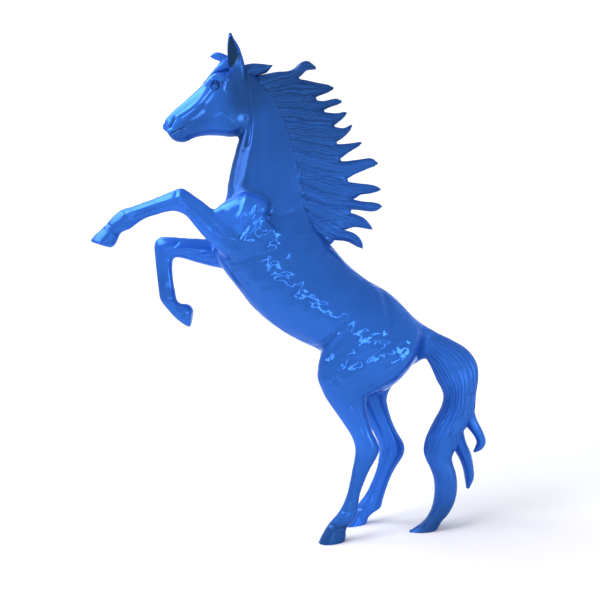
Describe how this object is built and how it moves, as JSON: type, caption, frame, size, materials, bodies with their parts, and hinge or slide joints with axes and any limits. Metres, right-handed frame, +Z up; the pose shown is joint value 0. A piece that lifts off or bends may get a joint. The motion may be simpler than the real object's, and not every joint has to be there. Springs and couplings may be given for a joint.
{
  "type": "resin horse sculpture",
  "caption": "Rearing horse sculpture in glossy blue resin, standing on its hind hooves and the tip of its tail, with a mane of pointed locks.",
  "frame": {"origin": "on the ground, under the middle of the bounding box", "axes": "+Z up, -X towards the head, -Y towards the horse's left side"},
  "size_m": [1.8778, 0.4512, 2.6],
  "materials": {
    "blue_resin": "high gloss lacquer over cast resin"
  },
  "bodies": {
    "root": {"horse": "blue_resin"}
  },
  "joints": []
}
